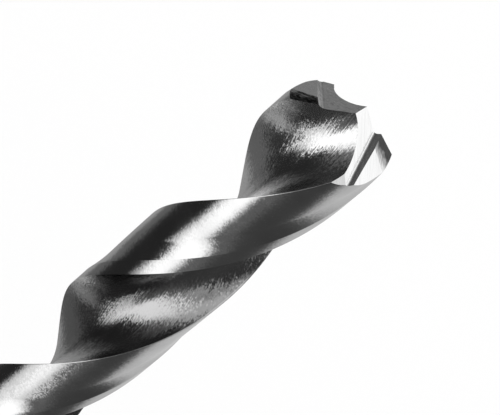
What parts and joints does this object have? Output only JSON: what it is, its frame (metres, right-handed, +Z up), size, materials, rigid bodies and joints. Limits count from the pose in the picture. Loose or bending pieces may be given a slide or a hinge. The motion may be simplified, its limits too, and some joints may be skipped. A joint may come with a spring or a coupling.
{
  "type": "twist drill bit",
  "caption": "Straight-shank two-flute twist drill with a 118 degree faceted point and a notched, thinned web.",
  "frame": {"origin": "centre of the shank's flat end face, on which the drill stands", "axes": "+Z up the drill's axis from the shank to the point; +X along the outer part of one of the two lips"},
  "size_m": [0.01, 0.01, 0.133],
  "materials": {
    "ground_steel": "bright ground high-speed steel, finely scratched along the flutes"
  },
  "bodies": {
    "root": {"drill_bit": "ground_steel"}
  },
  "joints": []
}
